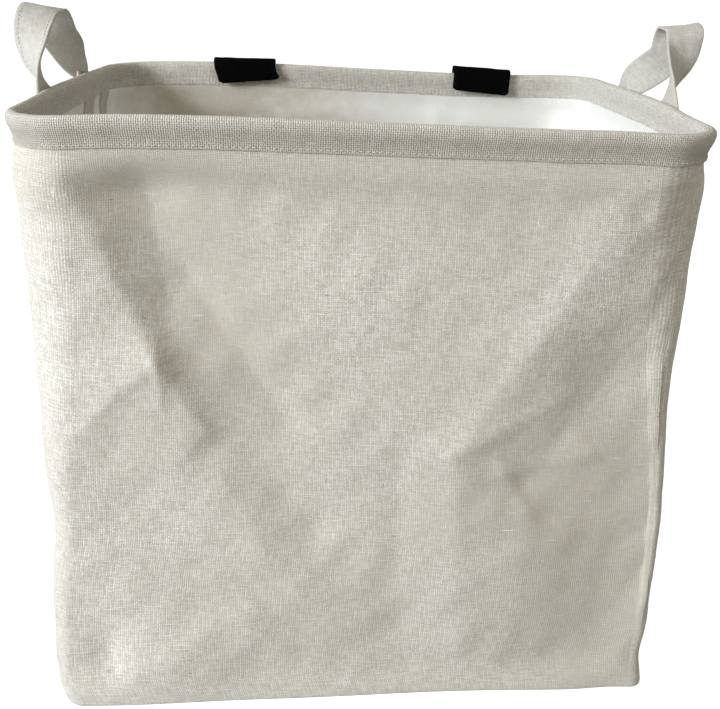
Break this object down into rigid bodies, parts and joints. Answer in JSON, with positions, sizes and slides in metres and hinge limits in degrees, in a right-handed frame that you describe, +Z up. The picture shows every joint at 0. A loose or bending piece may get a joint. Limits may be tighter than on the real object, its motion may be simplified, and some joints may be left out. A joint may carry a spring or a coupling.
{
  "type": "fabric storage bin",
  "caption": "Open rectangular bin of stiff coated linen-look fabric with a wire rim, a pair of strap handles on the sides and black fold-over tabs on the back rim.",
  "frame": {"origin": "centre of the underside of the base, on the surface the bin stands on", "axes": "+Z up, front of the bin faces -Y, the back rim with the tabs is at +Y, +X is to the right seen from the front"},
  "size_m": [0.456, 0.3025, 0.4263],
  "materials": {
    "linen_fabric": "undyed cotton-linen plain weave with slubs and dark flecks, coated on its back",
    "coated_lining": "smooth white coated fabric",
    "fibreboard": "plain grey-brown fibreboard",
    "wire_steel": "drawn steel wire",
    "strap_fabric": "doubled cotton-linen strap, stitched along both edges",
    "sewing_thread": "spun polyester thread",
    "black_tape": "matt black woven hook-and-loop tape",
    "black_hook_loop": "black hook or loop pile"
  },
  "bodies": {
    "shell": {"base_panel": "linen_fabric", "base_board": "fibreboard", "base_lining": "coated_lining", "base_seam_tape": "linen_fabric", "wall_panel": "linen_fabric", "side_seam_tape_front": "linen_fabric", "side_seam_tape_rear": "linen_fabric"},
    "rim": {"rim_wire": "wire_steel", "wire_ferrule": "wire_steel", "rim_hem": "linen_fabric", "hem_thread": "sewing_thread", "handle_left_ends": "strap_fabric", "handle_left_stitching": "sewing_thread", "handle_right_ends": "strap_fabric", "handle_right_stitching": "sewing_thread", "tab_left_sewn_end": "black_tape", "tab_left_loop_pad": "black_hook_loop", "tab_right_sewn_end": "black_tape", "tab_right_loop_pad": "black_hook_loop"},
    "left_handle": {"handle_left_loop": "strap_fabric"},
    "right_handle": {"handle_right_loop": "strap_fabric"},
    "left_tab": {"tab_left_flap": "black_tape", "tab_left_hook_pad": "black_hook_loop"},
    "right_tab": {"tab_right_flap": "black_tape", "tab_right_hook_pad": "black_hook_loop"}
  },
  "joints": [
    {"name": "rim_collapse", "type": "slide", "parent": "shell", "child": "rim", "axis": [0, 0, -1], "range_m": [0, 0.32], "deforming": ["wall_panel", "side_seam_tape_front", "side_seam_tape_rear"]},
    {"name": "left_handle_fold", "type": "hinge", "parent": "rim", "child": "left_handle", "pos_m": [-0.201, 0, 0.3813], "axis": [0, -1, 0], "range_deg": [-90, 115], "stiffness_Nm_per_rad": 0.06},
    {"name": "right_handle_fold", "type": "hinge", "parent": "rim", "child": "right_handle", "pos_m": [0.201, 0, 0.3813], "axis": [0, 1, 0], "range_deg": [-90, 115], "stiffness_Nm_per_rad": 0.06},
    {"name": "left_tab_open", "type": "hinge", "parent": "rim", "child": "left_tab", "pos_m": [-0.09, 0.151, 0.3825], "axis": [-1, 0, 0], "range_deg": [0, 165]},
    {"name": "right_tab_open", "type": "hinge", "parent": "rim", "child": "right_tab", "pos_m": [0.11, 0.151, 0.3825], "axis": [-1, 0, 0], "range_deg": [0, 165]}
  ]
}
